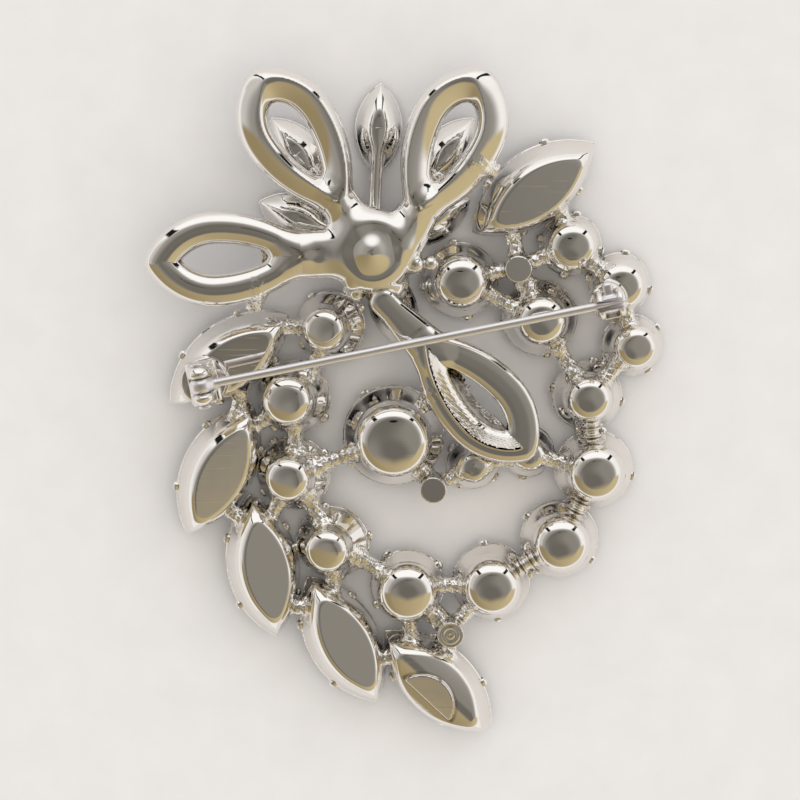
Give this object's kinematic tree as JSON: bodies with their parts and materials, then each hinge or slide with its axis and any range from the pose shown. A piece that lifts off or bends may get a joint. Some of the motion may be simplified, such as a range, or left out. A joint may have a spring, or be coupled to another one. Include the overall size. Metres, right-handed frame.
{
  "type": "brooch",
  "caption": "Rhinestone wreath brooch: a ring of cup-set round and navette stones with an open-petalled flower, and a hinged pin and safety catch on its back.",
  "frame": {"origin": "middle of the outline, on the plane of the stones' tables that the brooch rests on", "axes": "+Z out of the back, towards the pin; +Y up the brooch, towards the flower; +X to the right as seen from the back"},
  "size_m": [0.0548, 0.0718, 0.0103],
  "materials": {
    "rhodium_plate": "polished rhodium plate over cast white metal",
    "steel_wire": "drawn bright steel wire",
    "crystal": "clear foil-backed crystal"
  },
  "bodies": {
    "brooch": {"round_setting_01": "rhodium_plate", "round_setting_02": "rhodium_plate", "round_setting_03": "rhodium_plate", "round_setting_04": "rhodium_plate", "round_setting_05": "rhodium_plate", "round_setting_06": "rhodium_plate", "round_setting_07": "rhodium_plate", "round_setting_08": "rhodium_plate", "round_setting_09": "rhodium_plate", "round_setting_10": "rhodium_plate", "round_setting_11": "rhodium_plate", "round_setting_12": "rhodium_plate", "round_setting_13": "rhodium_plate", "round_setting_14": "rhodium_plate", "round_setting_15": "rhodium_plate", "round_setting_16": "rhodium_plate", "round_setting_17": "rhodium_plate", "navette_setting_1": "rhodium_plate", "navette_setting_2": "rhodium_plate", "navette_setting_3": "rhodium_plate", "navette_setting_4": "rhodium_plate", "navette_setting_5": "rhodium_plate", "navette_setting_6": "rhodium_plate", "flower_casting": "rhodium_plate", "rosette_casting": "rhodium_plate", "rosette_rivet": "rhodium_plate", "pin_joint": "rhodium_plate", "joint_rivet": "steel_wire", "catch_body": "rhodium_plate", "round_stone_01": "crystal", "round_stone_02": "crystal", "round_stone_03": "crystal", "round_stone_04": "crystal", "round_stone_05": "crystal", "round_stone_06": "crystal", "round_stone_07": "crystal", "round_stone_08": "crystal", "round_stone_09": "crystal", "round_stone_10": "crystal", "round_stone_11": "crystal", "round_stone_12": "crystal", "round_stone_13": "crystal", "round_stone_14": "crystal", "round_stone_15": "crystal", "round_stone_16": "crystal", "round_stone_17": "crystal", "navette_stone_1": "crystal", "navette_stone_2": "crystal", "navette_stone_3": "crystal", "navette_stone_4": "crystal", "navette_stone_5": "crystal", "navette_stone_6": "crystal", "rosette_heart_stone": "crystal", "rosette_stones": "crystal", "petal_stones": "crystal"},
    "pin": {"pin_stem": "steel_wire"},
    "catch_lock": {"catch_sleeve": "steel_wire"}
  },
  "joints": [
    {"name": "pin_hinge", "type": "hinge", "parent": "brooch", "child": "pin", "pos_m": [-0.0209, 0.00269, 0.0089], "axis": [0.1979, -0.9802, 0], "range_deg": [0, 100]},
    {"name": "catch_turn", "type": "hinge", "parent": "brooch", "child": "catch_lock", "pos_m": [0.02119, 0.01119, 0.0089], "axis": [0.9802, 0.1979, 0], "range_deg": [0, 110]}
  ]
}
